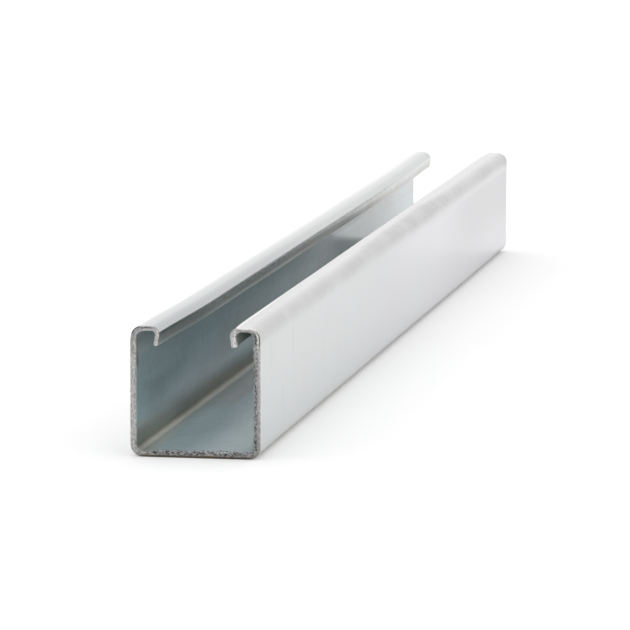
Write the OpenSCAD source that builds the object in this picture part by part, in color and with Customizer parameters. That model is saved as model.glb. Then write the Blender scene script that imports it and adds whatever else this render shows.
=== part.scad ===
// A piece of plain-backed strut channel, roll-formed from one strip of stainless steel.
// The channel lies on its back with its slot upwards. X runs across it, Y along it and Z up.
// The origin is under the middle of the back.

/* [Channel] */
// Width over the two walls
channel_w = 41.3; // [36:0.1:80]
// Height from the back to the tops of the lips
channel_h = 41.3; // [20:0.1:85]
// Length of the sawn piece
channel_l = 500; // [50:10:6000]
// Thickness of the strip
sheet_t = 1.9; // [1:0.1:3]

/* [Slot and lips] */
// Clear width between the two lips, where they are closest
slot_w = 22.2; // [12:0.1:26]
// Depth of each lip, from the top of the channel to its lowest edge
lip_d = 6.2; // [4.5:0.1:12]
// Lean of each lip back towards its wall, in degrees from upright
lip_lean = 10; // [0:1:25]
// Radius that shearing and rolling leave on the corners of the strip's edges
edge_r = 0.4; // [0.1:0.05:0.45]

/* [Bends] */
// Inner radius of the bends between the back and the walls
back_bend_r = 2.1; // [0.5:0.1:8]
// Inner radius of the shoulders between the walls and the lips
shoulder_bend_r = 1.5; // [0.5:0.1:4]
// Inner radius of the bends that turn the lips down into the slot
lip_bend_r = 0.8; // [0.3:0.1:2]

/* [Hidden] */
$fn = 96;

// A square turn of the strip, and the turn that a leaning lip takes
square_turn = 90;
lip_turn = square_turn + lip_lean;

// Outer radii, where the strip is bent round its inner radii
back_r = back_bend_r + sheet_t;
shoulder_r = shoulder_bend_r + sheet_t;
lip_r = lip_bend_r + sheet_t;

// Flat stretches of the strip between its bends, from the middle of the back to the edge
back_flat = channel_w / 2 - back_r;
wall_flat = channel_h - back_r - shoulder_r;
ledge_flat = (channel_w - slot_w) / 2 - shoulder_r - lip_r;
lip_flat = (lip_d - lip_r * (1 + sin(lip_lean))) / cos(lip_lean);

// The roll-forming schedule of one half, pass by pass: a flat stretch, then a turn on an inner radius
FLATS = [back_flat, wall_flat, ledge_flat];
TURNS = [square_turn, square_turn, lip_turn];
RADII = [back_bend_r, shoulder_bend_r, lip_bend_r];

// The strip bent round an inner radius, with the centre of the bend at the origin. The bend starts
// straight below its centre and turns anticlockwise, between two cuts through the centre.
module bend(inner_r, turn) {
    outer_r = inner_r + sheet_t;
    reach = 2 * outer_r;
    intersection() {
        difference() {
            circle(r = outer_r);
            circle(r = inner_r);
        }
        translate([0, -reach]) square([reach, 2 * reach]);
        rotate(turn) translate([-reach, -reach]) square([reach, 2 * reach]);
    }
}

// The last stretch of the strip, up to its sheared edge with its two corners eased
module strip_edge(flat) {
    square([flat - edge_r, sheet_t]);
    translate([0, edge_r]) square([flat, sheet_t - 2 * edge_r]);
    for (across = [edge_r, sheet_t - edge_r])
        translate([flat - edge_r, across]) circle(r = edge_r);
}

// Half of the section, walked along the strip from one pass of the schedule to the next
module half_section(pass = 0) {
    if (pass == len(FLATS)) {
        strip_edge(lip_flat);
    } else {
        outer_r = RADII[pass] + sheet_t;
        square([FLATS[pass], sheet_t]);
        translate([FLATS[pass], outer_r]) {
            bend(RADII[pass], TURNS[pass]);
            rotate(TURNS[pass]) translate([0, -outer_r]) half_section(pass + 1);
        }
    }
}

// The whole section, with the two halves meeting at the middle of the back
module channel_section() {
    half_section();
    mirror([1, 0]) half_section();
}

module strut_channel() {
    color("gainsboro")
        rotate([90, 0, 0])
            linear_extrude(height = channel_l, center = true) channel_section();
}

strut_channel();
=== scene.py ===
"""Dresses a piece of plain-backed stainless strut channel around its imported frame.

The channel is one strip of sheet, rolled to a C-shaped section and sawn to length. Its mesh is
walked along the strip, so every point knows its place on it: how far along the strip's width,
how far along the channel and how deep in the sheet, all in millimetres. The finishes read that
place to lay their grain. The studio round it is plain: a pale floor, a soft key light and a white
surround.
"""

import logging
import math
from dataclasses import dataclass, field
from enum import Enum
from functools import partial, reduce

import bpy
import numpy as np
from mathutils import Matrix, Vector

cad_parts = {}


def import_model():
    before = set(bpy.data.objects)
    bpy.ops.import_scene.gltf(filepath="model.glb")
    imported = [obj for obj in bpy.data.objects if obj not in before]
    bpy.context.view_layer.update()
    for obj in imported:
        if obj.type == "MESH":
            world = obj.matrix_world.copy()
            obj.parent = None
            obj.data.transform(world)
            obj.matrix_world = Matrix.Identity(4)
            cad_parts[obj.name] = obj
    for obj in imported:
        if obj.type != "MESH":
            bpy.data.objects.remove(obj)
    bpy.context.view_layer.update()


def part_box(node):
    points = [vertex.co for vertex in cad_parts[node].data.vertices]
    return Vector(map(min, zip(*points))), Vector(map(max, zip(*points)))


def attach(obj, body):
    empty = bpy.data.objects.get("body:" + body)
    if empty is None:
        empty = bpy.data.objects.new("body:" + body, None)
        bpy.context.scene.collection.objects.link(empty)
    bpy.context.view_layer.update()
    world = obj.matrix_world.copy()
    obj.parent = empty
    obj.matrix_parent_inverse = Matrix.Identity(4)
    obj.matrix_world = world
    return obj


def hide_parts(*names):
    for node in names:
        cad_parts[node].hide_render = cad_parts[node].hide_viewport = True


MM = 0.001
NODE = "strut_channel"
BODY = "root"
PLACE = "strip_place"
BAKE_MAP = "OFBake"
STRIP_REACH = 75.0
STRIP_RANGE = (-70.0, 70.0)
DEPTH_RANGE = (0.0, 2.6)

log = logging.getLogger("strut_channel")

Points = np.ndarray
Socket = bpy.types.NodeSocket
Source = bpy.types.NodeSocket | float | tuple
Colour = tuple[float, float, float]
Triple = tuple[float, float, float]
Border = tuple[float, ...]
Stops = tuple[tuple[float, float], ...]


class Surface(Enum):
    """The kinds of surface on the channel. Each value is a material slot on its mesh."""

    OUTER_SKIN = 0
    INNER_SKIN = 1
    SAWN = 2
    SHEARED = 3


class Region(Enum):
    """The stretches of surface that are unrolled one by one on the flat map."""

    OUTSIDE = 0
    INSIDE = 1
    RIGHT_EDGE = 2
    LEFT_EDGE = 3
    NEAR_FACE = 4
    FAR_FACE = 5


SKIN = {
    Region.OUTSIDE: Surface.OUTER_SKIN,
    Region.INSIDE: Surface.INNER_SKIN,
    Region.RIGHT_EDGE: Surface.SHEARED,
    Region.LEFT_EDGE: Surface.SHEARED,
}


def ragged(places: Points, spacing: float, seed: int) -> Points:
    """Draws a broken line of random heights along the strip.

    Args:
        places: Where the line is read, in mm from the middle of the back.
        spacing: Distance between its random knots, in mm.
        seed: Seed of the random heights.

    Returns:
        Heights from -1 to 1, one for each place.
    """
    rng = np.random.default_rng(seed)
    knots = np.arange(-STRIP_REACH, STRIP_REACH, spacing)
    return np.interp(places, knots, rng.uniform(-1, 1, len(knots)))


def soft_step(values: Points, low: float, high: float) -> Points:
    """Rises smoothly with the values, from 0 at low to 1 at high."""
    share = np.clip((values - low) / (high - low), 0, 1)
    return share * share * (3 - 2 * share)


@dataclass(frozen=True)
class Pass:
    """One roll-forming pass: a flat stretch of the strip, then a bend. In mm and degrees."""

    flat: float
    turn: float
    inner_r: float


@dataclass(frozen=True)
class ChannelSection:
    """The C-shaped section, in mm, walked along its strip from the middle of the back.

    It is as rolled, not quite true. The sheet thins where it was drawn round the shoulders and the
    lips, by a share of its thickness, and the walls and lips sway sideways. Both are given at some
    places along the strip and run straight between them.
    """

    width: float
    height: float
    sheet: float = 1.9
    slot: float = 22.2
    lip_depth: float = 6.3
    lip_lean: float = 10.0
    edge_r: float = 0.4
    back_r: float = 2.1
    lead_r: float = 14.0
    lead_turn: float = 8.0
    shoulder_r: float = 1.4
    lip_r: float = 0.8
    thin_places: tuple[float, ...] = (-68, -64.5, -61, -58, -53, 53, 57, 60, 62, 64.5, 68)
    thin_shares: tuple[float, ...] = (0.28, 0.25, 0.22, 0.14, 0, 0, 0.12, 0.3, 0.28, -0.04, -0.04)
    sway_places: tuple[float, ...] = (-68, -62, -58, -54, -22, -12, 12, 22, 50, 56, 61, 68)
    sway_shifts: tuple[float, ...] = (-0.05, 0.05, 0.38, 0.2, -0.1, 0, 0, 0.1, 0.28, 0.5, 0.2, 0.12)
    column_step: float = 0.3
    edge_steps: int = 4
    row_shares: tuple[float, ...] = (0, 0.06, 0.14, 0.28, 0.44, 0.6, 0.74, 0.86, 0.94, 1)

    def passes(self) -> list[Pass]:
        """Lists the passes of one half, with flats that add up to the width and the height.

        Returns:
            The passes in order: back, lead-in to the shoulder, shoulder and lip.
        """
        lead = math.radians(self.lead_turn)
        lean = math.radians(self.lip_lean)
        outer_back = self.back_r + self.sheet
        outer_lead = self.lead_r + self.sheet
        outer_shoulder = self.shoulder_r + self.sheet
        outer_lip = self.lip_r + self.sheet
        tall = outer_lead * math.sin(lead) + outer_shoulder * (1 - math.sin(lead))
        wide = outer_lead * (1 - math.cos(lead)) + outer_shoulder * math.cos(lead)
        ledge = (self.width - self.slot) / 2 - wide - outer_lip
        leg = (self.lip_depth - outer_lip * (1 + math.sin(lean))) / math.cos(lean)
        return [
            Pass(self.width / 2 - outer_back, 90, self.back_r),
            Pass(self.height - outer_back - tall, self.lead_turn, self.lead_r),
            Pass(0, 90 - self.lead_turn, self.shoulder_r),
            Pass(ledge, 90 + self.lip_lean, self.lip_r),
            Pass(leg - self.edge_r, 0, 0),
        ]

    def walk(self) -> Points:
        """Walks the outer skin of the right half.

        Returns:
            One row for each column of the mesh: distance along the strip, x, z, and the outward
            normal's x and z. The last row is where the eased edge starts.
        """
        along, x, z, heading = 0.0, 0.0, 0.0, 0.0
        rows = [(along, x, z, 0.0, -1.0)]
        for stage in self.passes():
            steps = math.ceil(stage.flat / self.column_step)
            for _ in range(steps):
                along += stage.flat / steps
                x += math.cos(heading) * stage.flat / steps
                z += math.sin(heading) * stage.flat / steps
                rows.append((along, x, z, math.sin(heading), -math.cos(heading)))
            if not stage.turn:
                continue
            turn, outer_r = math.radians(stage.turn), stage.inner_r + self.sheet
            arc = (stage.inner_r + self.sheet / 2) * turn
            centre_x = x - outer_r * math.sin(heading)
            centre_z = z + outer_r * math.cos(heading)
            steps = math.ceil(arc / self.column_step)
            for _ in range(steps):
                along += arc / steps
                heading += turn / steps
                x = centre_x + outer_r * math.sin(heading)
                z = centre_z - outer_r * math.cos(heading)
                rows.append((along, x, z, math.sin(heading), -math.cos(heading)))
        return np.array(rows)

    def columns(self) -> tuple[Points, Points]:
        """Lays out every column of the mesh, from the left edge to the right one.

        Returns:
            The walk's rows for both halves with their eased edges, and how far each column is
            drawn in from either skin by the easing.
        """
        half = self.walk()
        start = half[-1]
        angles = np.linspace(0, math.pi / 2, self.edge_steps + 1)[1:]
        ahead = self.edge_r * np.sin(angles)
        eased = np.tile(start, (len(angles), 1))
        eased[:, 0] += ahead
        eased[:, 1] -= start[4] * ahead
        eased[:, 2] += start[3] * ahead
        half = np.vstack([half, eased])
        inset = np.zeros(len(half))
        inset[-len(angles):] = self.edge_r * (1 - np.cos(angles))
        other = half[:0:-1] * np.array([-1, -1, 1, -1, 1])
        return np.vstack([other, half]), np.concatenate([inset[:0:-1], inset])

    def grid(self) -> dict[str, Points]:
        """Lays a grid over the whole section, columns along the strip and rows across the sheet.

        Returns:
            Arrays of columns by rows, flattened: "s" along the strip, "t" the depth from the outer
            skin in an unthinned sheet, "x" and "z", and the outward normal "nx" and "nz".
        """
        columns, inset = self.columns()
        share = np.array(self.row_shares)
        t = inset[:, None] + (self.sheet - 2 * inset[:, None]) * share
        s, x, z, nx, nz = (np.repeat(columns[:, i:i + 1], len(share), axis=1) for i in range(5))
        deep = t * (1 - np.interp(s, self.thin_places, self.thin_shares))
        x = x + np.interp(s, self.sway_places, self.sway_shifts)
        grid = {"s": s, "t": t, "x": x - nx * deep, "z": z - nz * deep, "nx": nx, "nz": nz}
        return {key: values.ravel() for key, values in grid.items()}

    def rim(self, columns: int) -> Points:
        """Lists the points of the grid that lie on its rim, in order round it.

        Args:
            columns: Number of the grid's columns.

        Returns:
            Indices into the flattened grid.
        """
        across = len(self.row_shares)
        outer = np.arange(columns) * across
        right = (columns - 1) * across + np.arange(1, across)
        inner = np.arange(columns - 2, -1, -1) * across + across - 1
        left = np.arange(across - 2, 0, -1)
        return np.concatenate([outer, right, inner, left])


@dataclass(frozen=True)
class SawCut:
    """One sawn end: its tooth marks, its eased outer rim and the burr along its inner rim.

    Its points are given by s, their distance along the strip, and t, their depth from the outer
    skin. All lengths are in mm.
    """

    burr_places: tuple[float, ...]
    burr_heights: tuple[float, ...]
    seed: int
    burr_floor: float = 0.2
    burr_spacings: tuple[float, float] = (0.95, 0.41)
    fine_burr: float = 0.6
    full_burr: float = 0.3
    burr_reach: float = 0.8
    tooth_depth: float = 0.03
    tooth_spacing: float = 1.3
    tooth_wander: float = 0.4
    rim_width: float = 0.3
    rim_ease: float = 0.14
    rim_spacing: float = 0.8
    rim_wander: float = 0.5
    inner_ease: float = 0.06
    fin: float = 0.1
    gap: float = 0.22
    gap_place: float = 0.12
    gap_width: float = 0.1

    def burr(self, s: Points) -> Points:
        """Gives how far the burr stands off the inner skin along the strip.

        Args:
            s: Distance along the strip.

        Returns:
            Distances, one for each place.
        """
        coarse, fine = (
            np.abs(ragged(s, spacing, self.seed + i)) for i, spacing in enumerate(self.burr_spacings))
        torn = coarse + self.fine_burr * fine
        envelope = np.interp(s, self.burr_places, self.burr_heights)
        return envelope * (self.burr_floor + (1 - self.burr_floor) * torn)

    def depth(self, s: Points, t: Points, sheet: float) -> Points:
        """Gives how far each point of the face lies behind the plane of the cut.

        Args:
            s: Distance along the strip.
            t: Depth from the outer skin.
            sheet: Thickness of the sheet.

        Returns:
            Depths, below 0 where the burr's fin stands proud.
        """
        teeth = np.random.default_rng(self.seed + 2).uniform(0, 1, s.shape)
        teeth += self.tooth_wander * ragged(s, self.tooth_spacing, self.seed + 3)
        worn = 1 + self.rim_wander * ragged(s, self.rim_spacing, self.seed + 4)
        outer_rim = self.rim_ease * worn * (1 - soft_step(t, 0, self.rim_width))
        strength = np.minimum(self.burr(s) / self.full_burr, 1)
        inner_rim = soft_step(t, sheet - self.rim_width, sheet) * (self.inner_ease - self.fin * strength)
        groove = np.exp(-((t - sheet + self.gap_place) / self.gap_width) ** 2)
        return self.tooth_depth * teeth + outer_rim + inner_rim + self.gap * strength * groove

    def lean(self, s: Points, t: Points, sheet: float) -> Points:
        """Gives how far the burr pulls each point past the inner skin of a sheet."""
        return self.burr(s) * soft_step(t, sheet - self.rim_width, sheet)


@dataclass
class StrutChannel:
    """The channel: one closed mesh with a rolled skin, two sawn ends and two sheared edges.

    Its points are given by s, their distance along the strip, y, their place along the channel, and
    t, their depth from the outer skin. All lengths are in mm.
    """

    section: ChannelSection
    length: float
    near_cut: SawCut
    far_cut: SawCut
    wave: float = 0.035
    wave_lengths: tuple[float, ...] = (210, 133, 88, 61, 43)
    wave_widths: tuple[float, float] = (30, 90)
    wave_crowd: float = 1.5
    wave_seed: int = 31
    closing_places: tuple[float, ...] = (-68, -56, -22, 22, 56, 68)
    closing_shifts: tuple[float, ...] = (1.4, 1.3, 0, 0, -0.35, -0.58)
    closing_reaches: tuple[float, float] = (75.0, 12.0)
    stations: int = 66
    end_stations: tuple[float, ...] = (0.25, 0.55, 1.0, 1.8, 3.2)
    burr_fall: float = 1.5
    map_gap: float = 0.01
    face_share: float = 0.016
    name: str = "strut_channel_strip"
    piece: bpy.types.Object | None = field(default=None, init=False)

    def ripple(self, s: Points, y: Points) -> Points:
        """Gives how far the slow waves that roll-forming leaves lift the skin.

        Args:
            s: Distance along the strip.
            y: Place along the channel.

        Returns:
            Distances, below 0 in a hollow.
        """
        rng = np.random.default_rng(self.wave_seed)
        total = np.zeros(np.broadcast(s, y).shape)
        longest = self.wave_lengths[0]
        for length in self.wave_lengths:
            width = rng.uniform(*self.wave_widths)
            phase_s, phase_y = rng.uniform(0, math.tau, 2)
            across = np.sin(math.tau * s / width + phase_s)
            total += across * np.sin(math.tau * y / length + phase_y) * length / longest
        return self.wave * total / self.wave_crowd

    def closing(self, s: Points, y: Points) -> Points:
        """Gives how far the walls lean in along x, away from the ends that the cut let spring out.

        Args:
            s: Distance along the strip.
            y: Place along the channel.

        Returns:
            Shifts along x.
        """
        reach = np.interp(s, (-1, 1), self.closing_reaches)
        share = soft_step(self.length / 2 - np.abs(y), 0, reach)
        return share * np.interp(s, self.closing_places, self.closing_shifts)

    def rings(self) -> Points:
        """Lists where the skin's rings of points stand along the channel, closer near the ends.

        Returns:
            Places from the near end to the far one.
        """
        half = self.length / 2
        near = np.array(self.end_stations) - half
        start = near[-1] + self.end_stations[-1]
        return np.concatenate([near, np.linspace(start, -start, self.stations), -near[::-1]])

    def end_face(self, grid: dict[str, Points], side: int, cut: SawCut) -> tuple[Points, Points]:
        """Sets out the points of one sawn end.

        Args:
            grid: The section's grid.
            side: -1 at the near end, 1 at the far one.
            cut: How that end was cut.

        Returns:
            The points, and their places on the strip. A burr's place runs on past the sheet.
        """
        s, t, sheet = grid["s"], grid["t"], self.section.sheet
        y = side * (self.length / 2 - cut.depth(s, t, sheet))
        pulled = cut.lean(s, t, sheet)
        out = self.ripple(s, y) - pulled
        points = np.column_stack([grid["x"] + grid["nx"] * out, y, grid["z"] + grid["nz"] * out])
        return points, np.column_stack([s, np.full(len(s), side * self.length / 2), t + pulled])

    def ring(self, rim: dict[str, Points], y: float) -> tuple[Points, Points]:
        """Sets out one ring of the skin.

        Args:
            rim: The grid's values round its rim.
            y: Where the ring stands, in mm.

        Returns:
            The points, and their places on the strip.
        """
        cut = self.near_cut if y < 0 else self.far_cut
        left = max(0.0, 1 - (self.length / 2 - abs(y)) / cut.burr_reach) ** self.burr_fall
        pulled = left * cut.lean(rim["s"], rim["t"], self.section.sheet)
        out = self.ripple(rim["s"], y) - pulled
        ys = np.full(len(out), y)
        x = rim["x"] + rim["nx"] * out + self.closing(rim["s"], ys)
        points = np.column_stack([x, ys, rim["z"] + rim["nz"] * out])
        return points, np.column_stack([rim["s"], ys, rim["t"] + pulled])

    def weave(self, columns: int, rim: Points, rings: int) -> tuple[Points, Points, Points]:
        """Joins the points of both ends and the rings between them into quads.

        Args:
            columns: Number of the grid's columns.
            rim: The grid's rim.
            rings: Number of the skin's rings.

        Returns:
            The quads, and the region and the kind of surface of each.
        """
        across = len(self.section.row_shares)
        count = columns * across
        cell = (np.arange(columns - 1)[:, None] * across + np.arange(across - 1)).ravel()
        near = np.column_stack([cell, cell + 1, cell + across + 1, cell + across])
        far_start = count + rings * len(rim)
        loops = [rim] + [count + i * len(rim) + np.arange(len(rim)) for i in range(rings)]
        loops.append(far_start + rim)
        order = (Region.OUTSIDE, Region.RIGHT_EDGE, Region.INSIDE, Region.LEFT_EDGE)
        lengths = (columns - 1, across - 1, columns - 1, across - 1)
        side = np.concatenate([np.full(n, region.value) for region, n in zip(order, lengths)])
        kind = np.array([SKIN[Region(value)].value for value in side])
        kind_at_end = np.where(side == Region.INSIDE.value, Surface.SAWN.value, kind)
        quads = [near, near[:, ::-1] + far_start]
        regions = [np.full(len(near), face.value) for face in (Region.NEAR_FACE, Region.FAR_FACE)]
        surfaces = [np.full(2 * len(near), Surface.SAWN.value)]
        for i, (first, second) in enumerate(zip(loops[:-1], loops[1:])):
            quads.append(np.column_stack([first, np.roll(first, -1), np.roll(second, -1), second]))
            regions.append(side)
            surfaces.append(kind_at_end if i in (0, rings) else kind)
        return np.vstack(quads), np.concatenate(regions), np.concatenate(surfaces)

    def build(self) -> bpy.types.Object:
        """Builds the channel's mesh.

        Returns:
            The new object, in the frame's own place.
        """
        grid = self.section.grid()
        columns = len(grid["s"]) // len(self.section.row_shares)
        rim = self.section.rim(columns)
        round_rim = {key: values[rim] for key, values in grid.items()}
        ys = self.rings()
        parts = [self.end_face(grid, -1, self.near_cut)]
        parts += [self.ring(round_rim, y) for y in ys]
        parts.append(self.end_face(grid, 1, self.far_cut))
        points = np.vstack([part[0] for part in parts])
        places = np.vstack([part[1] for part in parts])
        quads, regions, surfaces = self.weave(columns, rim, len(ys))

        mesh = bpy.data.meshes.new(self.name)
        mesh.from_pydata((points * MM).tolist(), [], quads.tolist())
        mesh.polygons.foreach_set("material_index", surfaces.astype(np.int32))
        mesh.polygons.foreach_set("use_smooth", np.ones(len(quads), bool))
        attribute = mesh.attributes.new(PLACE, "FLOAT_VECTOR", "POINT")
        attribute.data.foreach_set("vector", places.astype(np.float32).ravel())
        self.lay_map(mesh, places[quads], regions)
        mesh.update()
        mesh.validate()
        self.piece = bpy.data.objects.new(self.name, mesh)
        bpy.context.scene.collection.objects.link(self.piece)
        return self.piece

    def lay_map(self, mesh: bpy.types.Mesh, corners: Points, regions: Points) -> None:
        """Unrolls the skin, the edges and the ends side by side on the flat map.

        Args:
            mesh: The mesh that gets the map.
            corners: The place on the strip of each quad's four corners.
            regions: The region of each quad.
        """
        s, y, t = (corners[:, :, i] for i in range(3))
        along = (y + self.length / 2) / self.length
        across = (s - s.min()) / np.ptp(s)
        deep = t / t.max()
        gap, thin = self.map_gap, self.face_share
        skin = (1 - gap * (len(Region) + 1) - thin * (len(Region) - 2)) / 2
        low = gap
        u, v = np.empty_like(s), np.empty_like(s)
        for region in Region:
            here = regions == region.value
            broad = region in (Region.OUTSIDE, Region.INSIDE)
            facing = region in (Region.NEAR_FACE, Region.FAR_FACE)
            height = skin if broad else thin
            u[here] = across[here] if facing else along[here]
            v[here] = low + height * (across[here] if broad else deep[here])
            low += height + gap
        layer = mesh.uv_layers.new(name=BAKE_MAP)
        uv = np.stack([gap + (1 - 2 * gap) * u, v], axis=2)
        layer.data.foreach_set("uv", uv.astype(np.float32).ravel())

    def dress(self, materials: dict[Surface, bpy.types.Material]) -> None:
        """Gives each kind of surface its finish, by its material."""
        for surface in Surface:
            self.piece.data.materials.append(materials[surface])

    def seat(self) -> None:
        """Puts the piece on its body, in place of the plain solid."""
        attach(self.piece, BODY)
        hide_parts(NODE)


@dataclass(frozen=True)
class Pattern:
    """A noise pattern: how its place is stretched and shifted, and how its finer layers are."""

    stretch: Triple
    shift: Triple = (0.0, 0.0, 0.0)
    detail: float = 2.0
    rough: float = 0.5


@dataclass(frozen=True)
class Patch:
    """A part of the strip with soft borders, in mm, and what it does to the finish there.

    Its borders lie across the strip's width and along the channel. Each runs from where the patch
    is nothing to where it is whole, or gives its own two levels after the two places. A mirrored
    patch lies on both halves of the strip.
    """

    strip: tuple[Border, ...] = ()
    length: tuple[Border, ...] = ()
    mirrored: bool = False
    colour: Colour | None = None
    share: float = 1.0
    tone: float = 1.0
    rough: float = 0.0


@dataclass
class Sheet:
    """A node tree that is being drawn, with short ways to add and join its nodes."""

    tree: bpy.types.NodeTree

    def add(self, kind: str, **settings: object) -> bpy.types.Node:
        """Adds a node of a kind, with some of its properties set.

        Args:
            kind: The node's type.
            settings: Its properties by name.

        Returns:
            The new node.
        """
        node = self.tree.nodes.new(kind)
        for key, value in settings.items():
            setattr(node, key, value)
        return node

    def feed(self, source: Source, socket: Socket) -> None:
        """Links a socket to an input, or sets the input to a plain value.

        Args:
            source: What goes in.
            socket: The input that it goes to.
        """
        if isinstance(source, Socket):
            self.tree.links.new(source, socket)
        else:
            socket.default_value = source

    def math(self, operation: str, first: Source, second: Source = 0.0) -> Socket:
        """Works out one sum.

        Args:
            operation: The sum's name.
            first: Its first source.
            second: Its second source.

        Returns:
            The result's socket.
        """
        node = self.add("ShaderNodeMath", operation=operation)
        self.feed(first, node.inputs[0])
        self.feed(second, node.inputs[1])
        return node.outputs[0]

    def times(self, *sources: Source) -> Source:
        """Multiplies any number of sources."""
        return reduce(partial(self.math, "MULTIPLY"), sources)

    def plus(self, *sources: Source) -> Source:
        """Adds any number of sources."""
        return reduce(partial(self.math, "ADD"), sources)

    def most(self, *sources: Source) -> Source:
        """Takes the highest of any number of sources."""
        return reduce(partial(self.math, "MAXIMUM"), sources)

    def weighed(self, *parts: tuple[Source, Source]) -> Source:
        """Adds up pairs of a source and its weight."""
        return self.plus(*(self.times(*part) for part in parts))

    def ramp(self, value: Source, low: Source, high: Source, start: Source = 0.0,
             end: Source = 1.0, smooth: bool = True) -> Socket:
        """Maps a value from one range to another, and holds it there.

        Args:
            value: What is mapped.
            low: Where the first range starts.
            high: Where it ends.
            start: What low becomes.
            end: What high becomes.
            smooth: Whether the change starts and ends gently.

        Returns:
            The result's socket.
        """
        way = "SMOOTHSTEP" if smooth else "LINEAR"
        node = self.add("ShaderNodeMapRange", interpolation_type=way)
        for socket, source in zip(node.inputs, (value, low, high, start, end)):
            self.feed(source, socket)
        return node.outputs[0]

    def within(self, mask: Source, level: Source) -> Socket:
        """Gives a level inside a mask, and 1 outside it."""
        return self.ramp(mask, 0, 1, 1, level)

    def band(self, value: Source, low: float, high: float, blur: float) -> Source:
        """Masks a band of a value, between the middles of two borders that are twice blur wide."""
        above = self.ramp(value, low - blur, low + blur)
        return self.times(above, self.ramp(value, high + blur, high - blur))

    def stretch(self, vector: Source, scale: Source, shift: Source = (0, 0, 0)) -> Socket:
        """Scales a place or a colour on each axis, and shifts it afterwards.

        Args:
            vector: The place or the colour.
            scale: How much it is scaled on each axis.
            shift: How far it is moved afterwards.

        Returns:
            The result's socket.
        """
        node = self.add("ShaderNodeVectorMath", operation="MULTIPLY_ADD")
        for socket, source in zip(node.inputs, (vector, scale, shift)):
            self.feed(source, socket)
        return node.outputs[0]

    def noise(self, place: Source, pattern: Pattern, scale: Source = 1.0) -> Socket:
        """Reads a noise pattern.

        Args:
            place: Where it is read.
            pattern: The pattern.
            scale: How much smaller it is drawn.

        Returns:
            The pattern's socket, from 0 to 1 about 0.5.
        """
        node = self.add("ShaderNodeTexNoise", noise_dimensions="3D")
        self.feed(self.stretch(place, pattern.stretch, pattern.shift), node.inputs["Vector"])
        self.feed(scale, node.inputs["Scale"])
        node.inputs["Detail"].default_value = pattern.detail
        node.inputs["Roughness"].default_value = pattern.rough
        return node.outputs["Fac"]

    def split(self, vector: Source) -> tuple[Socket, ...]:
        """Takes a place apart into its three numbers.

        Args:
            vector: The place.

        Returns:
            The sockets of its numbers.
        """
        node = self.add("ShaderNodeSeparateXYZ")
        self.feed(vector, node.inputs[0])
        return tuple(node.outputs)

    def levels(self, value: Source, reach: tuple[float, float], stops: Stops) -> Socket:
        """Reads a level off a line through some stops.

        Args:
            value: What the line is read at.
            reach: Where the line starts and ends.
            stops: Pairs of a value and its level from 0 to 1, in order.

        Returns:
            The level's socket.
        """
        node = self.add("ShaderNodeValToRGB")
        elements = node.color_ramp.elements
        for _ in stops[2:]:
            elements.new(0.5)
        for element, (place, level) in zip(elements, stops):
            element.position = (place - reach[0]) / (reach[1] - reach[0])
            element.color = (level, level, level, 1)
        self.feed(self.ramp(value, *reach, smooth=False), node.inputs[0])
        return node.outputs[0]

    def mix(self, share: Source, first: Source, second: Source) -> Socket:
        """Mixes two colours.

        Args:
            share: How much of the second there is.
            first: The first colour.
            second: The second colour.

        Returns:
            The mixed colour's socket.
        """
        node = self.add("ShaderNodeMix", data_type="RGBA")
        self.feed(share, node.inputs[0])
        for socket, source in ((node.inputs[6], first), (node.inputs[7], second)):
            self.feed((*source, 1.0) if isinstance(source, tuple) else source, socket)
        return node.outputs[2]


class MetalSheet(Sheet):
    """The node tree of a metal, with the place of each of its points on the strip.

    It holds the colour, the tone and the roughness as they stand while the metal is drawn.
    """

    def __init__(self, name: str) -> None:
        """Makes a material with its metal shader.

        Args:
            name: The material's name.
        """
        self.material = bpy.data.materials.new(name)
        self.material.use_nodes = True
        super().__init__(self.material.node_tree)
        self.shader = self.tree.nodes["Principled BSDF"]
        self.shader.inputs["Metallic"].default_value = 1.0
        self.place = self.add("ShaderNodeAttribute", attribute_name=PLACE).outputs["Vector"]
        self.s, self.y, self.t = self.split(self.place)
        self.out = self.math("ABSOLUTE", self.s)
        self.colour: Source = (0.5, 0.5, 0.5)
        self.tone: Source = 1.0
        self.rough: Source = 0.5

    def mask(self, patch: Patch) -> Source:
        """Masks a patch.

        Args:
            patch: The patch.

        Returns:
            A level that is 1 where the patch is whole and 0 outside it.
        """
        across = self.out if patch.mirrored else self.s
        sides = [self.ramp(across, *border) for border in patch.strip]
        return self.times(*sides, *(self.ramp(self.y, *border) for border in patch.length))

    def lay(self, patch: Patch) -> Source:
        """Lays a patch on the finish.

        Args:
            patch: The patch, with the colour that it mixes in, the tone that it multiplies by or
                the roughness that it adds.

        Returns:
            The patch's mask.
        """
        mask = self.mask(patch)
        if patch.colour:
            self.colour = self.mix(self.times(mask, patch.share), self.colour, patch.colour)
        if patch.tone != 1:
            self.tone = self.times(self.tone, self.within(mask, patch.tone))
        if patch.rough:
            self.rough = self.plus(self.rough, self.times(mask, patch.rough))
        return mask

    def finish(self, height: Source, depth: float) -> bpy.types.Material:
        """Feeds the shader.

        Args:
            height: The relief's height, from 0 to 1.
            depth: How deep a height of 1 is, in mm.

        Returns:
            The finished material.
        """
        self.feed(self.colour, self.shader.inputs["Base Color"])
        self.feed(self.rough, self.shader.inputs["Roughness"])
        bump = self.add("ShaderNodeBump")
        bump.inputs["Distance"].default_value = depth * MM
        self.feed(height, bump.inputs["Height"])
        self.feed(bump.outputs["Normal"], self.shader.inputs["Normal"])
        return self.material


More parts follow.
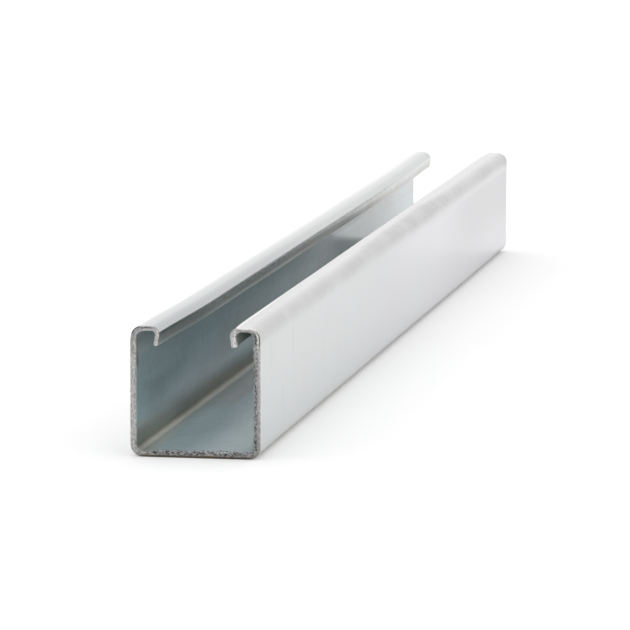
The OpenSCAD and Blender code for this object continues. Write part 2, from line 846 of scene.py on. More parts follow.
class EffectGroup:
    """A shader node group that several finishes share. It puts out only masks and values."""

    name = ""
    inputs: dict[str, tuple[str, object]] = {}
    outputs: tuple[str, ...] = ()

    def __init__(self) -> None:
        """Makes the group with its named sockets, and draws what is inside."""
        self.tree = bpy.data.node_groups.new(self.name, "ShaderNodeTree")
        for label, (kind, value) in self.inputs.items():
            socket = self.tree.interface.new_socket(label, in_out="INPUT", socket_type=kind)
            if value is not None:
                socket.default_value = value
        for label in self.outputs:
            self.tree.interface.new_socket(label, in_out="OUTPUT", socket_type="NodeSocketFloat")
        sheet = Sheet(self.tree)
        given = sheet.add("NodeGroupInput").outputs
        target = sheet.add("NodeGroupOutput").inputs
        for label, value in zip(self.outputs, self.draw(sheet, given)):
            sheet.feed(value, target[label])

    def draw(self, sheet: Sheet, given: bpy.types.NodeOutputs) -> tuple[Source, ...]:
        """Draws the nodes inside the group, and returns the sources of its outputs."""
        raise NotImplementedError

    def place(self, sheet: MetalSheet, **values: object) -> tuple[Socket, ...]:
        """Puts the group into a material.

        Args:
            sheet: The material's tree. The group is read at its place on the strip.
            values: What goes to its other inputs, by their names with _ for a space.

        Returns:
            The sockets of its outputs.
        """
        node = sheet.add("ShaderNodeGroup", node_tree=self.tree)
        sheet.feed(sheet.place, node.inputs["Place"])
        for label, value in values.items():
            sheet.feed(value, node.inputs[label.replace("_", " ")])
        return tuple(node.outputs)


class RollGrain(EffectGroup):
    """What the rolls leave: lines along the channel, faint streaks across them, and cloudy blotches.

    Its hue drifts slowly. Each pattern is drawn in the strip's own millimetres.
    """

    name = "roll grain"
    inputs = {
        "Place": ("NodeSocketVector", None),
        "Line Width": ("NodeSocketFloat", 0.5),
        "Blotch Size": ("NodeSocketFloat", 18.0),
    }
    outputs = ("Lines", "Streaks", "Blotches", "Hue")
    fine_lines = Pattern((1.0, 0.006, 7.0), detail=4.0, rough=0.62)
    broad_lines = Pattern((0.16, 0.004, 3.0), (9.1, 3.7, 0.0))
    fine_share = 0.6
    streaks = Pattern((0.04, 0.17, 5.0), (3.3, 0.0, 2.0), 4.0, 0.6)
    blotches = Pattern((1.0, 0.45, 9.0), (0.0, 5.0, 1.0), 4.0, 0.55)
    hue = Pattern((0.04, 0.012, 3.0), (1.7, 8.0, 4.0), 3.0, 0.55)

    def draw(self, sheet: Sheet, given: bpy.types.NodeOutputs) -> tuple[Source, ...]:
        """Draws the four patterns.

        Args:
            sheet: The group's tree.
            given: The sockets of its inputs.

        Returns:
            The sources of its outputs, in order.
        """
        place = given["Place"]
        fine = sheet.noise(place, self.fine_lines, sheet.math("DIVIDE", 1.0, given["Line Width"]))
        broad = sheet.noise(place, self.broad_lines)
        lines = sheet.weighed((fine, self.fine_share), (broad, 1 - self.fine_share))
        blotches = sheet.noise(place, self.blotches, sheet.math("DIVIDE", 1.0, given["Blotch Size"]))
        return lines, sheet.noise(place, self.streaks), blotches, sheet.noise(place, self.hue)


class TornMetal(EffectGroup):
    """The speckle and the dark tears that a saw or a shear leaves across the sheet."""

    name = "torn metal"
    inputs = {
        "Place": ("NodeSocketVector", None),
        "Grit": ("NodeSocketFloat", 0.4),
        "Pull": ("NodeSocketVector", (1.0, 1.0, 1.0)),
    }
    outputs = ("Speckle", "Tears")
    speckle = Pattern((1.0, 1.0, 1.0), detail=3.0, rough=0.65)
    tears = Pattern((1.0, 1.0, 1.0), detail=4.0, rough=0.7)
    tear_scale = 0.45
    deep_end = (0.44, 0.3)

    def draw(self, sheet: Sheet, given: bpy.types.NodeOutputs) -> tuple[Source, ...]:
        """Draws the speckle, and the tears as the deep ends of a slower pattern.

        Args:
            sheet: The group's tree.
            given: The sockets of its inputs.

        Returns:
            The sources of its outputs, in order.
        """
        pulled = sheet.stretch(given["Place"], given["Pull"])
        fine = sheet.math("DIVIDE", 1.0, given["Grit"])
        slow = sheet.noise(pulled, self.tears, sheet.times(fine, self.tear_scale))
        return sheet.noise(pulled, self.speckle, fine), sheet.ramp(slow, *self.deep_end)


@dataclass(frozen=True)
class Finish:
    """What every metal finish here has: a colour, a darker and a lighter one, and a roughness.

    The roughness follows a pattern: between the two values of rough_turn it goes from the third
    number above it to the fourth.
    """

    name: str
    colour: Colour
    dark: Colour
    light: Colour
    roughness: float
    rough_turn: Border = (0.35, 0.65, 0.03, -0.03)

    def roughen(self, sheet: MetalSheet, value: Source, smooth: bool = False) -> Socket:
        """Works out the roughness from a pattern's value."""
        low, high, more, less = self.rough_turn
        return sheet.ramp(value, low, high, self.roughness + more, self.roughness + less, smooth)


@dataclass(frozen=True)
class OuterSkin(Finish):
    """The strip's outer skin: satin, with roll lines, cross streaks and a drifting tint.

    The right shoulder is scuffed to a neutral grey, which also paints its darker reflection, in a band
    that is wider along the channel's middle, and greyer above it near the end. Past the middle of the
    channel the right wall is a little lighter and then darkens upwards at its far end, with painted
    light and shade. The left shoulder and the ridge of the right lip near the end carry painted
    highlights, and the left ledge darkens towards its lip with painted shade. The bends at the back
    are dull, with painted shade for the dark floor that they reflect. The legs of the lips are dull
    too; their brown changes along the channel and ends in a painted highlight along their edges.

    Places are in mm along the strip, from the middle of the back, and along the channel.
    """

    bare: Colour = (0.67, 0.67, 0.665)
    # A colour for painted highlights.
    painted_highlight: Colour = (0.97, 0.97, 0.97)
    # A grey for scuffs that also paints a darker reflection.
    scuff_and_shade: Colour = (0.52, 0.512, 0.512)
    # A dull brown that also paints shade on the back bends.
    dull_and_shade: Colour = (0.46, 0.435, 0.4)
    rough_turn: Border = (0.35, 0.65, 0.035, -0.035)
    line_width: float = 0.55
    line_share: float = 0.4
    blotch: float = 14.0
    blotch_share: float = 0.3
    streak_share: Border = (-230, -40, 0.7, 0.25)
    relief: float = 0.0015
    relief_shares: tuple[float, float] = (0.7, 0.3)

    tint_turn: Border = (-130, 70, -0.25, 0.25)
    tint_range: Border = (0.3, 0.7)
    bare_from: Border = (52.5, 58)
    wear: Border = (0.32, 0.68, 0, 0.6)

    # The scuffed band: partly wear, partly a painted darker reflection.
    scuff_start: Border = (52.1, 55.9)
    scuff_ends: tuple[tuple[float, float], ...] = ((60.3, 61.8), (56.5, 58.4))
    scuff_wide: Patch = Patch(length=((-120, 0), (130, 50)))
    scuff_shares: tuple[float, float] = (0.5, 0.5)
    scuff_worn: Border = (0.42, 0.58, 1, 0.6)
    scuff_rough: float = 0.12

    # Painted light and shade on the right wall: a little lighter past the middle, darker upwards at its far
    # end.
    wall: Patch = Patch(strip=((18, 22), (54, 50)), length=((-60, 60),))
    wall_light_near: Border = (70, 170, 1.05)
    wall_shade_far: Border = (24, 42, 1, 0.86)

    patches: tuple[Patch, ...] = (
        Patch(strip=((56, 59),), length=((-250, -110, 0.3, 0),), colour=scuff_and_shade),
        # Painted highlight on the left shoulder.
        Patch(strip=((-62, -57), (-42.5, -47.5)), length=((-230, 20),), colour=painted_highlight),
        # Painted highlight on the ridge of the right lip near the end.
        Patch(strip=((61.9, 63.1), (65, 63.8)), length=((-165, -215, 0, 0.8),), colour=painted_highlight),
        # Painted shade on the left ledge, deeper towards its lip and near the end.
        Patch(strip=((-58, -64),), length=((-150, 60, 0.9, 0.4),), colour=(0.41, 0.43, 0.44)),
        # Dull back bends, with painted shade for the dark floor that they reflect.
        Patch(strip=((21.6, 18.6),), mirrored=True, colour=dull_and_shade, share=0.6, rough=0.18),
    )

    leg_start: float = 64.5
    leg_whole: Border = (-180, 90, 65.4, 67.6)
    leg_rough: float = 0.1
    leg_tints: tuple[Patch, ...] = (
        Patch(length=((20, 60), (138, 98)), colour=(0.25, 0.242, 0.23)),
        Patch(length=((115, 185),), colour=(0.54, 0.535, 0.515)),
        Patch(length=((-120, -200),), colour=(0.68, 0.64, 0.585)),
        # Painted highlight along the edges of the legs.
        Patch(strip=((67.35, 67.65),), length=((60, -80),), mirrored=True, colour=(0.92, 0.88, 0.83)),
    )
    # Painted highlight, with more roughness, where the left lip turns into its leg.
    lip_turn_highlight: Patch = Patch(strip=((-66.15, -65.45), (-64.55, -65.25)), length=((-235, -170, 0, 0.4),),
                            colour=painted_highlight, rough=0.2)

    brush: Border = (0.3, 0.7, -1, 1)
    brush_length: Border = (-230, 0, 0.12, 0.02)
    brush_strip: Border = (60, 63, 1, 0)
    smoothest: float = 0.08

    def tinted(self, sheet: MetalSheet, worn: Source, hue: Source) -> Socket:
        """Draws the drifting tint and the wear over it.

        Args:
            sheet: The material's tree.
            worn: The pattern of the wear.
            hue: The pattern of the drift.

        Returns:
            The colour's socket.
        """
        drift = sheet.plus(sheet.ramp(sheet.y, *self.tint_turn), hue)
        tint = sheet.mix(sheet.ramp(drift, *self.tint_range), self.dark, self.light)
        tint = sheet.mix(sheet.ramp(sheet.out, *self.bare_from), tint, self.bare)
        return sheet.mix(sheet.ramp(worn, *self.wear, smooth=False), tint, self.colour)

    def scuffed_and_shaded(self, sheet: MetalSheet) -> Source:
        """Masks the scuffed band of the right shoulder.

        Args:
            sheet: The material's tree.

        Returns:
            The band's mask.
        """
        wide = sheet.mask(self.scuff_wide)
        nothing, whole = (sheet.ramp(wide, 0, 1, *places) for places in self.scuff_ends)
        return sheet.times(sheet.ramp(sheet.s, *self.scuff_start), sheet.ramp(sheet.s, nothing, whole))

    def lay_legs(self, sheet: MetalSheet) -> None:
        """Lays the dull legs of the lips on the finish.

        Args:
            sheet: The material's tree.
        """
        tint = self.dull_and_shade
        for patch in self.leg_tints:
            tint = sheet.mix(sheet.mask(patch), tint, patch.colour)
        leg = sheet.ramp(sheet.out, self.leg_start, sheet.ramp(sheet.y, *self.leg_whole, smooth=False))
        sheet.colour = sheet.mix(leg, sheet.colour, tint)
        sheet.rough = sheet.plus(sheet.rough, sheet.times(leg, self.leg_rough))

    def brushed(self, sheet: MetalSheet, worn: Source, streaks: Source) -> Socket:
        """Works out the roughness, which follows the streaks across the channel near its end.

        Args:
            sheet: The material's tree.
            worn: The pattern of the wear.
            streaks: The pattern of the streaks.

        Returns:
            The roughness's socket.
        """
        brushed = sheet.times(sheet.ramp(streaks, *self.brush, smooth=False),
                              sheet.ramp(sheet.y, *self.brush_length),
                              sheet.ramp(sheet.out, *self.brush_strip))
        return sheet.most(sheet.plus(self.roughen(sheet, worn), brushed), self.smoothest)

    def make(self, grain: RollGrain) -> bpy.types.Material:
        """Draws the finish.

        Args:
            grain: The shared roll grain.

        Returns:
            The material.
        """
        sheet = MetalSheet(self.name)
        lines, streaks, blotches, hue = grain.place(
            sheet, Line_Width=self.line_width, Blotch_Size=self.blotch)
        fade = sheet.ramp(sheet.y, *self.streak_share)
        worn = sheet.weighed((lines, self.line_share), (streaks, fade), (blotches, self.blotch_share))
        sheet.colour = self.tinted(sheet, worn, hue)
        sheet.rough = self.brushed(sheet, worn, streaks)

        # Grey on the right shoulder that is partly scuffs and partly a painted darker reflection.
        scuffed_and_shaded = self.scuffed_and_shaded(sheet)
        patchy = sheet.ramp(sheet.weighed(*zip((streaks, blotches), self.scuff_shares)), *self.scuff_worn)
        sheet.colour = sheet.mix(sheet.times(scuffed_and_shaded, patchy), sheet.colour, self.scuff_and_shade)
        sheet.rough = sheet.plus(sheet.rough, sheet.times(scuffed_and_shaded, self.scuff_rough))
        # Painted light and shade on the right wall.
        wall = sheet.ramp(sheet.y, *self.wall_light_near, sheet.ramp(sheet.s, *self.wall_shade_far))
        sheet.colour = sheet.stretch(sheet.colour, sheet.within(sheet.mask(self.wall), wall))
        for patch in self.patches:
            sheet.lay(patch)
        self.lay_legs(sheet)
        # Painted highlight where the left lip turns into its leg.
        sheet.lay(self.lip_turn_highlight)
        return sheet.finish(sheet.weighed(*zip((lines, blotches), self.relief_shares)), self.relief)


@dataclass(frozen=True)
class InnerSkin(Finish):
    """The strip's inner skin: a dull, mottled blue-grey scale with a thin gloss over it.

    The bends at the back and the right lip are rubbed to a brown without gloss, and the left bend is
    paler at the near end, with painted light. Past the middle of the channel the tint turns to a bare
    grey above a painted shadow that slants down the left wall. Its tones are levels at places along
    the strip that paint light and shade, lighter beside the left bend and darker just above it. The
    patches are, in order: a stain at the left wall's top, a grey arch under the left lip lit with
    painted light, two greyer patches of painted shade, the shade under the left lip, the lit end of
    the right lip and painted light on the foot of the left wall. The near end's left wall is lit with
    painted light at its top and its foot as well.

    Places are in mm along the strip, from the middle of the back, and along the channel.
    """

    rubbed: Colour = (0.4, 0.39, 0.345)
    rubbed_rough: float = 0.12
    bend: Patch = Patch(strip=((15.8, 19), (31, 21)), mirrored=True)
    right_lip: Border = (57, 59)
    bare: Colour = (0.535, 0.53, 0.525)
    bare_from: Border = (40, 150)
    tint_range: Border = (0.36, 0.64)
    mottle: Pattern = Pattern((0.5, 0.35, 3.0), detail=4.0, rough=0.65)
    wear_shares: tuple[float, ...] = (0.25, 0.4, 0.35)
    wear: Border = (0.4, 0.6, 0, 0.8)
    # The tones paint light and shade: lighter beside the left bend, darker just above it.
    tones: Stops = (
        (-56, 0.58), (-46, 0.57), (-40, 0.545), (-33, 0.5), (-27, 0.47), (-24, 0.43), (-20, 0.47),
        (-17.5, 0.55), (-16, 0.66), (-12, 0.66), (-8, 0.605), (-3, 0.55), (4, 0.49), (12, 0.44),
        (20, 0.44), (26, 0.5), (57, 0.52), (60, 0.6), (68, 0.6))
    gain: float = 2.0
    mottle_range: Border = (0.35, 0.65)
    mottle_tones: tuple[Border, ...] = ((0, 150, 0.88, 0.97), (0, 150, 1.12, 1.03))

    # Painted light on the left bend near the end, which is also browner.
    pale: Patch = Patch(strip=((-29.5, -24.5), (-11.5, -16.5)), length=((-165, -232),),
                        colour=rubbed, share=0.6)
    pale_light_tone: Border = (-226, -250, 1.42, 1)
    patches: tuple[Patch, ...] = (
        Patch(strip=((-60.5, -55.5), (-43.5, -48.5)), length=((-246, -248.6),), colour=(0.17, 0.125, 0.09)),
        # A grey arch, lit with painted light near the end.
        Patch(strip=((-46, -52),), length=((-205, -240),), colour=bare, share=0.85,
              tone=1.25),
        # Two greyer patches of painted shade.
        Patch(strip=((-44, -38), (-26, -32)), length=((-148, -112), (-44, -80)),
              colour=bare, share=0.6, tone=0.88),
        Patch(strip=((-18.5, -15.5), (-5.5, -8.5)), length=((-178, -142), (-44, -80)),
              colour=bare, share=0.6, tone=0.88),
        Patch(strip=((-44.5, -48),), length=((30, 80), (160, 110)), tone=0.55),
        Patch(strip=((57, 60),), length=((-226, -246),), tone=1.5),
        # Painted light on the foot of the left wall near the end.
        Patch(strip=((-31, -27), (-17.5, -21.5)), length=((-215, -150),), tone=1.22),
    )
    # Painted light on the left wall's top and foot near the end.
    lit_near_top: Patch = Patch(strip=((-56, -50), (-35, -41)), length=((-160, -230),))
    lit_near_foot: Patch = Patch(strip=((-42, -38), (-24, -28)), length=((-220, -246),))
    near_light_tone: float = 1.27

    # A painted shadow that slants down the left wall, with less gloss in it.
    slanting_shadow: Patch = Patch(strip=((-56, -52), (-20, -24)), length=((0, 105),))
    shadow_slope: float = 0.143
    shadow_below: Border = (58, 53.5)
    shadow_tone: float = 0.63
    shadow_matt: float = 0.75
    gloss: Border = (0, 1, 0.8, 0.08)
    gloss_roughness: float = 0.08
    line_width: float = 0.8
    blotch: float = 20.0
    relief: float = 0.003

    def slanting_shadow_mask(self, sheet: MetalSheet) -> Source:
        """Masks the painted shadow, whose upper border climbs along the left wall."""
        level = sheet.weighed((sheet.s, -1), (sheet.y, self.shadow_slope))
        return sheet.times(sheet.mask(self.slanting_shadow), sheet.ramp(level, *self.shadow_below))

    def make(self, grain: RollGrain) -> bpy.types.Material:
        """Draws the finish.

        Args:
            grain: The shared roll grain.

        Returns:
            The material.
        """
        sheet = MetalSheet(self.name)
        lines, _, blotches, hue = grain.place(sheet, Line_Width=self.line_width, Blotch_Size=self.blotch)
        mottle = sheet.noise(sheet.place, self.mottle)
        worn = sheet.weighed(*zip((lines, blotches, mottle), self.wear_shares))
        tint = sheet.mix(sheet.ramp(hue, *self.tint_range), self.dark, self.light)
        tint = sheet.mix(sheet.ramp(sheet.y, *self.bare_from), tint, self.bare)
        brown = sheet.most(sheet.mask(self.bend), sheet.ramp(sheet.s, *self.right_lip))
        colour = sheet.mix(sheet.ramp(worn, *self.wear, smooth=False), tint, self.colour)
        sheet.colour = sheet.mix(brown, colour, self.rubbed)
        rubbed = sheet.times(brown, self.rubbed_rough)
        sheet.rough = sheet.plus(self.roughen(sheet, worn), rubbed)

        # Painted light near the end, and the painted shadow on the left wall.
        pale, slanting_shadow = sheet.lay(self.pale), self.slanting_shadow_mask(sheet)
        near = sheet.most(sheet.mask(self.lit_near_top), sheet.mask(self.lit_near_foot))
        darker, lighter = (sheet.ramp(sheet.y, *tones) for tones in self.mottle_tones)
        sheet.tone = sheet.times(
            sheet.levels(sheet.s, STRIP_RANGE, self.tones),
            sheet.within(pale, sheet.ramp(sheet.y, *self.pale_light_tone)),
            sheet.within(slanting_shadow, self.shadow_tone),
            sheet.within(near, self.near_light_tone),
            sheet.ramp(worn, *self.mottle_range, darker, lighter, smooth=False),
            self.gain)
        for patch in self.patches:
            sheet.lay(patch)
        sheet.colour = sheet.stretch(sheet.colour, sheet.tone)

        # Less gloss on the brown bends and in the painted shadow.
        matt = sheet.most(brown, sheet.times(slanting_shadow, self.shadow_matt))
        sheet.feed(sheet.ramp(matt, *self.gloss), sheet.shader.inputs["Coat Weight"])
        sheet.shader.inputs["Coat Roughness"].default_value = self.gloss_roughness
        return sheet.finish(lines, self.relief)


@dataclass(frozen=True)
class Stretch:
    """A stretch of the sawn end that has its own lines across the sheet.

    It runs from start to end along the strip, in mm, with borders that are twice blur wide.
    """

    start: float
    end: float
    blur: float
    lines: Stops


@dataclass(frozen=True)
class SawnFinish(Finish):
    """The sawn end: speckled grey, with lines that follow the rim where the sheet was bent.

    Its tones are levels at places along the strip, darkest at the back. They are multiplied by lines
    across the sheet, at depths in mm from the outer skin. The back is scorched brown towards that
    skin. The burr's rim is torn into dark specks that partly paint the shadow of its gap, and carries
    painted glints.
    """

    rough_turn: Border = (0.3, 0.7, 0.1, -0.12)
    scorch: Colour = (0.135, 0.105, 0.08)
    scorch_depth: Border = (1.05, 0.5, 0, 0.95)
    back: Border = (20, 15)
    gain: float = 2.0
    tones: Stops = (
        (-69, 0.52), (-65, 0.46), (-62, 0.5), (-48, 0.48), (-24, 0.46), (-20, 0.42), (-16, 0.36),
        (-12, 0.3), (12, 0.27), (18, 0.3), (22, 0.36), (26, 0.42), (50, 0.48), (55, 0.55),
        (60, 0.5), (64, 0.58), (69, 0.62))
    plain: Stops = ((0, 0.5), (0.2, 0.42), (0.5, 0.5), (1.5, 0.5), (1.8, 0.42), (2.6, 0.5))
    stretches: tuple[Stretch, ...] = (
        Stretch(-70, -62.5, 1.0, (
            (0, 0.34), (0.15, 0.32), (0.4, 0.66), (0.75, 0.6), (1.05, 0.42), (1.5, 0.5), (2.6, 0.4))),
        Stretch(-63, -59, 0.8, (
            (0, 0.6), (0.2, 0.44), (0.42, 0.2), (0.8, 0.2), (1.1, 0.36), (1.4, 0.52), (1.7, 0.42),
            (1.9, 0.26), (2.6, 0.4))),
        Stretch(-59, -55.5, 0.8, (
            (0, 0.36), (0.12, 0.12), (0.4, 0.1), (0.62, 0.46), (0.9, 0.34), (1.15, 0.3), (1.5, 0.5),
            (1.75, 0.42), (1.9, 0.24), (2.6, 0.4))),
        Stretch(-55.5, -50, 1.2, (
            (0, 0.42), (0.3, 0.33), (0.9, 0.38), (1.4, 0.5), (1.7, 0.46), (1.9, 0.36), (2.6, 0.4))),
        Stretch(20, 52, 3.0, (
            (0, 0.6), (0.2, 0.5), (0.5, 0.46), (1.0, 0.38), (1.4, 0.36), (1.75, 0.24), (2.0, 0.36),
            (2.6, 0.5))),
        Stretch(53, 57.5, 1.0, (
            (0, 0.8), (0.2, 0.5), (0.35, 0.1), (0.5, 0.08), (0.65, 0.66), (0.95, 0.76), (1.15, 0.3),
            (1.6, 0.36), (1.75, 0.08), (1.95, 0.06), (2.1, 0.36), (2.6, 0.4))),
        Stretch(57.5, 63, 1.0, (
            (0, 0.96), (0.3, 0.94), (0.7, 0.66), (1.0, 0.24), (1.2, 0.4), (1.5, 0.36), (1.9, 0.2),
            (2.6, 0.3))),
        Stretch(63, 70, 1.0, ((0, 0.42), (0.4, 0.4), (0.9, 0.52), (1.5, 0.54), (1.9, 0.4), (2.6, 0.4))),
    )
    wander: Pattern = Pattern((0.5, 1.0, 1.5), (4.0, 0.0, 0.0), 3.0, 0.6)
    wander_reach: Border = (0.3, 0.7, -0.16, 0.16)
    grit: float = 0.42
    pull: Triple = (0.5, 1.0, 1.3)
    grit_range: Border = (0.34, 0.66)
    grit_tones: tuple[Border, ...] = ((0, 1, 0.65, 0.35), (0, 1, 1.4, 1.75))
    rim: tuple[float, float, float] = (-0.8, 0.04, 0.15)
    tear_share: float = 0.5
    # Dark specks at the burr's rim, partly painted shadow of its gap.
    shadow_specks: Border = (0.5, 0.4)
    torn_tones: Stops = (
        (-69, 0.0), (-24, 0.1), (-16, 0.6), (-12, 0.9), (12, 0.9), (22, 0.8), (50, 0.9), (57, 0.7),
        (60, 0.5), (66, 0.6), (69, 0.1))
    # Painted glints on the burr's rim and fin.
    glints: Border = (0.56, 0.64)
    fin: Border = (0.04, 0.12)
    fin_glints: Border = (0.42, 0.56)
    glint_tones: Stops = (
        (-69, 0.2), (-24, 0.1), (-15, 0.25), (-7, 0.3), (-2, 0.8), (12, 0.8), (20, 0.3), (50, 0.12),
        (69, 0.1))
    sheet_t: float = 1.9
    relief: float = 0.06

    def lined(self, sheet: MetalSheet, depth: Source) -> Source:
        """Works out the tone of the face, with its lines across the sheet.

        Args:
            sheet: The material's tree.
            depth: The socket of the depth from the outer skin.

        Returns:
            The tone's source.
        """
        lines = sheet.levels(depth, DEPTH_RANGE, self.plain)
        for stretch in self.stretches:
            here = sheet.band(sheet.s, stretch.start, stretch.end, stretch.blur)
            own = sheet.levels(depth, DEPTH_RANGE, stretch.lines)
            lines = sheet.ramp(here, 0, 1, lines, own, smooth=False)
        return sheet.times(lines, sheet.levels(sheet.s, STRIP_RANGE, self.tones), self.gain)

    def make(self, torn: TornMetal) -> bpy.types.Material:
        """Draws the finish.

        Args:
            torn: The shared torn metal.

        Returns:
            The material.
        """
        sheet = MetalSheet(self.name)
        speckle, tears = torn.place(sheet, Grit=self.grit, Pull=self.pull)
        wander = sheet.noise(sheet.place, self.wander)
        depth = sheet.plus(sheet.t, sheet.ramp(wander, *self.wander_reach, smooth=False))
        back = sheet.ramp(sheet.out, *self.back)
        darkest, lightest = (sheet.ramp(back, *tones) for tones in self.grit_tones)
        grit = sheet.ramp(speckle, *self.grit_range, darkest, lightest, smooth=False)
        base = sheet.mix(sheet.times(self.lined(sheet, depth), grit), self.dark, self.light)
        base = sheet.mix(sheet.times(back, sheet.ramp(depth, *self.scorch_depth)), base, self.scorch)

        proud = sheet.math("SUBTRACT", sheet.t, self.sheet_t)
        rim = sheet.band(proud, *self.rim)
        # Dark specks that partly paint the shadow of the burr's gap.
        shadow_specks = sheet.times(rim, sheet.ramp(speckle, *self.shadow_specks))
        tear = sheet.times(sheet.most(sheet.times(tears, self.tear_share), shadow_specks),
                           sheet.levels(sheet.s, STRIP_RANGE, self.torn_tones))
        # Painted glints at the rim and on the fin.
        glints = sheet.times(rim, sheet.ramp(speckle, *self.glints))
        fin = sheet.times(sheet.ramp(proud, *self.fin), sheet.ramp(speckle, *self.fin_glints))
        glint = sheet.times(sheet.most(glints, fin),
                            sheet.levels(sheet.s, STRIP_RANGE, self.glint_tones))
        sheet.colour = sheet.mix(glint, sheet.mix(tear, base, self.dark), self.colour)
        sheet.rough = self.roughen(sheet, speckle, smooth=True)
        return sheet.finish(speckle, self.relief)


@dataclass(frozen=True)
class ShearedFinish(Finish):
    """The strip's sheared edge: a half burnished, half broken band with marks across it."""

    rough_turn: Border = (0.3, 0.7, 0.08, -0.08)
    line_width: float = 0.3
    blotch: float = 9.0
    blotch_range: Border = (0.35, 0.65)
    grit: float = 0.5
    pull: Triple = (0.3, 1.0, 0.3)
    broken: Border = (0.76, 1.14, 0.2, 1.2)
    darkest: float = 0.8
    relief: float = 0.03

    def make(self, grain: RollGrain, torn: TornMetal) -> bpy.types.Material:
        """Draws the finish.

        Args:
            grain: The shared roll grain.
            torn: The shared torn metal.

        Returns:
            The material.
        """
        sheet = MetalSheet(self.name)
        _, _, blotches, _ = grain.place(sheet, Line_Width=self.line_width, Blotch_Size=self.blotch)
        speckle, tears = torn.place(sheet, Grit=self.grit, Pull=self.pull)
        base = sheet.mix(sheet.ramp(blotches, *self.blotch_range), self.colour, self.light)
        tear = sheet.math("MINIMUM", sheet.times(tears, sheet.ramp(sheet.t, *self.broken)), self.darkest)
        sheet.colour = sheet.mix(tear, base, self.dark)
        sheet.rough = self.roughen(sheet, speckle, smooth=True)
        return sheet.finish(speckle, self.relief)


@dataclass(frozen=True)
class Viewpoint:
    """Where the camera stands, in mm and degrees, fitted to the edges in the photograph."""

    place: tuple[float, float, float] = (303.55, -1586.11, 245.82)
    yaw: float = 11.2309
    pitch: float = 8.3465
    roll: float = -0.3472
    lens: float = 255.15
    sensor: float = 36.0
    clip: tuple[float, float] = (0.05, 50.0)

    def stand(self) -> bpy.types.Object:
        """Makes the camera.

        Returns:
            The camera's object.
        """
        yaw, pitch, roll = (math.radians(angle) for angle in (self.yaw, self.pitch, self.roll))
        level = Vector((-math.sin(yaw), math.cos(yaw), 0.0))
        ahead = math.cos(pitch) * level - math.sin(pitch) * Vector((0.0, 0.0, 1.0))
        right = Vector((math.cos(yaw), math.sin(yaw), 0.0))
        up = right.cross(ahead)
        turned_right = math.cos(roll) * right + math.sin(roll) * up
        turned_up = math.cos(roll) * up - math.sin(roll) * right
        data = bpy.data.cameras.new("camera")
        data.lens, data.sensor_width = self.lens, self.sensor
        data.clip_start, data.clip_end = self.clip
        camera = bpy.data.objects.new("camera", data)
        turn = Matrix((turned_right, turned_up, -ahead)).transposed()
        camera.matrix_world = Matrix.Translation(Vector(self.place) * MM) @ turn.to_4x4()
        bpy.context.scene.collection.objects.link(camera)
        bpy.context.scene.camera = camera
        return camera


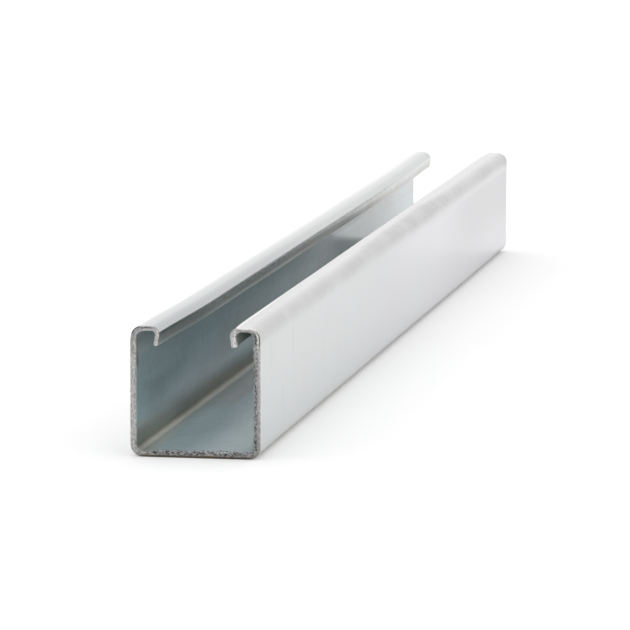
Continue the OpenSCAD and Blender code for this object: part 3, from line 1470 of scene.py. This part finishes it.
@dataclass(frozen=True)
class Studio:
    """A white surround, a pale floor and one large soft key light from above. In metres."""

    surround: float = 1.0
    front: Border = (-0.9, -0.1, 0.6, 1.0)
    zenith: Border = (0.1, 0.9, 1.0, 1.1)
    floor_colour: Colour = (0.86, 0.86, 0.86)
    floor_mottle: float = 0.985
    floor_pattern: Pattern = Pattern((6.0, 6.0, 6.0), detail=3.0)
    floor_rough: float = 0.9
    floor_gloss: float = 0.1
    floor_lift: float = 0.14
    floor_gloss_lift: float = 0.07
    floor_size: float = 12.0
    key_place: tuple[float, float, float] = (0.0, -0.1, 2.2)
    key_size: float = 1.5
    key_power: float = 6.0

    def light_world(self) -> None:
        """Makes the surround: plain white where it is seen, and dimmer behind the camera."""
        world = bpy.data.worlds.new("surround")
        bpy.context.scene.world = world
        world.use_nodes = True
        sheet = Sheet(world.node_tree)
        world.node_tree.nodes.clear()
        _, ahead, up = sheet.split(sheet.add("ShaderNodeTexCoord").outputs["Generated"])
        dome = sheet.times(sheet.ramp(ahead, *self.front), sheet.ramp(up, *self.zenith), self.surround)
        seen = sheet.add("ShaderNodeLightPath").outputs["Is Camera Ray"]
        level = sheet.ramp(seen, 0, 1, dome, self.surround, smooth=False)
        background = sheet.add("ShaderNodeBackground")
        background.inputs["Color"].default_value = (1, 1, 1, 1)
        sheet.feed(level, background.inputs["Strength"])
        output = sheet.add("ShaderNodeOutputWorld")
        sheet.feed(background.outputs[0], output.inputs[0])

    def lay_floor(self) -> bpy.types.Object:
        """Lays the floor under the channel.

        Returns:
            The floor's object.
        """
        mesh = bpy.data.meshes.new("floor")
        half = self.floor_size / 2
        corners = [(-half, -half, 0), (half, -half, 0), (half, half, 0), (-half, half, 0)]
        mesh.from_pydata(corners, [], [(0, 1, 2, 3)])
        floor = bpy.data.objects.new("floor", mesh)
        bpy.context.scene.collection.objects.link(floor)
        material = bpy.data.materials.new("pale floor")
        material.use_nodes = True
        sheet = Sheet(material.node_tree)
        shader = material.node_tree.nodes["Principled BSDF"]
        shader.inputs["Roughness"].default_value = self.floor_rough
        shader.inputs["Specular IOR Level"].default_value = self.floor_gloss
        tone = sheet.noise(sheet.add("ShaderNodeTexCoord").outputs["Object"], self.floor_pattern)
        darker = tuple(self.floor_mottle * level for level in self.floor_colour)
        sheet.feed(sheet.mix(tone, darker, self.floor_colour), shader.inputs["Base Color"])
        path = sheet.add("ShaderNodeLightPath").outputs
        mirrored = sheet.most(path["Is Glossy Ray"], path["Is Transmission Ray"])
        lift = sheet.weighed((path["Is Camera Ray"], self.floor_lift), (mirrored, self.floor_gloss_lift))
        shader.inputs["Emission Color"].default_value = (1, 1, 1, 1)
        sheet.feed(lift, shader.inputs["Emission Strength"])
        mesh.materials.append(material)
        return floor

    def hang_key(self) -> bpy.types.Object:
        """Hangs the key light, aimed at the channel.

        Returns:
            The lamp's object.
        """
        data = bpy.data.lights.new("key", "AREA")
        data.shape, data.size, data.energy = "SQUARE", self.key_size, self.key_power
        lamp = bpy.data.objects.new("key", data)
        lamp.location = self.key_place
        lamp.rotation_mode = "QUATERNION"
        lamp.rotation_quaternion = (-Vector(self.key_place)).to_track_quat("-Z", "Y")
        bpy.context.scene.collection.objects.link(lamp)
        return lamp


def main() -> None:
    """Loads the frame, then builds the channel and the studio in order."""
    logging.basicConfig(level=logging.INFO, format="%(name)s: %(message)s")
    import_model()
    bpy.context.scene.view_settings.view_transform = "Standard"

    low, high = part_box(NODE)
    size = (high - low) / MM
    section = ChannelSection(width=size.x, height=size.z)
    channel = StrutChannel(
        section=section,
        length=size.y,
        near_cut=SawCut(
            burr_places=(-68, -56, -22, -16, -12, 10, 16, 21, 26, 45, 52, 57, 59, 68),
            burr_heights=(0.03, 0.04, 0.08, 0.2, 0.5, 0.75, 0.6, 0.45, 0.4, 0.3, 0.4, 0.7, 0.1, 0.04),
            seed=11,
        ),
        far_cut=SawCut(
            burr_places=(-68, -22, -12, 12, 22, 68),
            burr_heights=(0.04, 0.1, 0.25, 0.3, 0.15, 0.05),
            seed=47,
        ),
    )
    piece = channel.build()
    grain, torn = RollGrain(), TornMetal()
    channel.dress({
        Surface.OUTER_SKIN: OuterSkin(
            name="outer skin", colour=(0.645, 0.66, 0.665), dark=(0.625, 0.655, 0.655),
            light=(0.65, 0.645, 0.67), roughness=0.14).make(grain),
        Surface.INNER_SKIN: InnerSkin(
            name="inner skin", colour=(0.5, 0.62, 0.65), dark=(0.475, 0.59, 0.61),
            light=(0.52, 0.61, 0.66), roughness=0.48).make(grain),
        # The sawn end's colour is the colour of its painted glints.
        Surface.SAWN: SawnFinish(
            name="sawn end", colour=(0.66, 0.73, 0.79), dark=(0.02, 0.018, 0.016),
            light=(0.99, 0.985, 0.97), roughness=0.5).make(torn),
        Surface.SHEARED: ShearedFinish(
            name="sheared edge", colour=(0.45, 0.43, 0.405), dark=(0.2, 0.17, 0.15),
            light=(0.55, 0.52, 0.49), roughness=0.4).make(grain, torn),
    })
    channel.seat()
    log.info("%s: %d points, %d faces", piece.name, len(piece.data.vertices), len(piece.data.polygons))

    studio = Studio()
    studio.light_world()
    log.info("%s laid", studio.lay_floor().name)
    log.info("%s hung", studio.hang_key().name)
    log.info("%s set", Viewpoint().stand().name)


if __name__ == "__main__":
    main()
